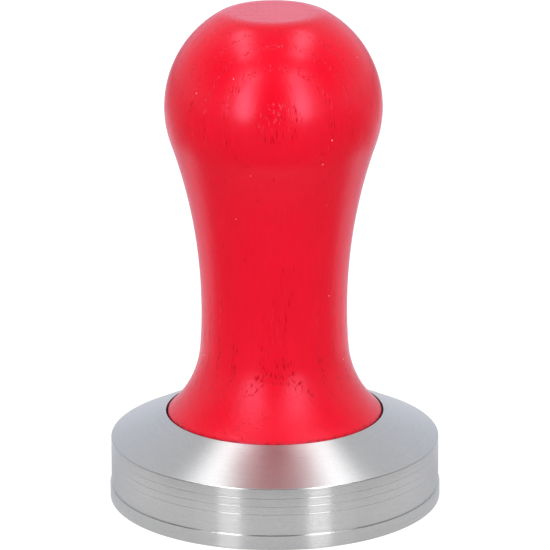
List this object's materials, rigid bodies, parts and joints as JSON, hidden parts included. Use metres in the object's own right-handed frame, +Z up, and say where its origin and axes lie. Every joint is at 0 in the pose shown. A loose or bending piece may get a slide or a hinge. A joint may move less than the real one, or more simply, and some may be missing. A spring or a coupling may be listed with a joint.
{
  "type": "espresso tamper",
  "caption": "Espresso tamper: turned steel piston with a conical top and a recess, and a lacquered wooden handle with a ball knob that screws on to a stud in the piston.",
  "frame": {"origin": "centre of the flat tamping face", "axes": "+Z up along the turning axis, from the tamping face to the top of the knob; -Y is the side that faces the viewer"},
  "size_m": [0.058, 0.058, 0.0877],
  "materials": {
    "turned_steel": "fine turned",
    "stud_steel": "rolled thread",
    "nylon": "matte",
    "brass": "turned",
    "lacquered_wood": "satin lacquer over open pores"
  },
  "bodies": {
    "piston": {"base": "turned_steel", "stud": "stud_steel"},
    "carrier": {"friction_washer": "nylon"},
    "grip": {"handle": "lacquered_wood", "threaded_insert": "brass"}
  },
  "joints": [
    {"name": "handle_lift", "type": "slide", "parent": "piston", "child": "carrier", "axis": [0, 0, 1], "range_m": [0, 0.012]},
    {"name": "handle_turn", "type": "hinge", "parent": "carrier", "child": "grip", "pos_m": [0, 0, 0.0137], "axis": [0, 0, 1], "range_deg": [0, 2880]}
  ],
  "couplings": [
    {"joint": "handle_turn", "follows": "handle_lift", "rad_per_m": 4188.8}
  ]
}
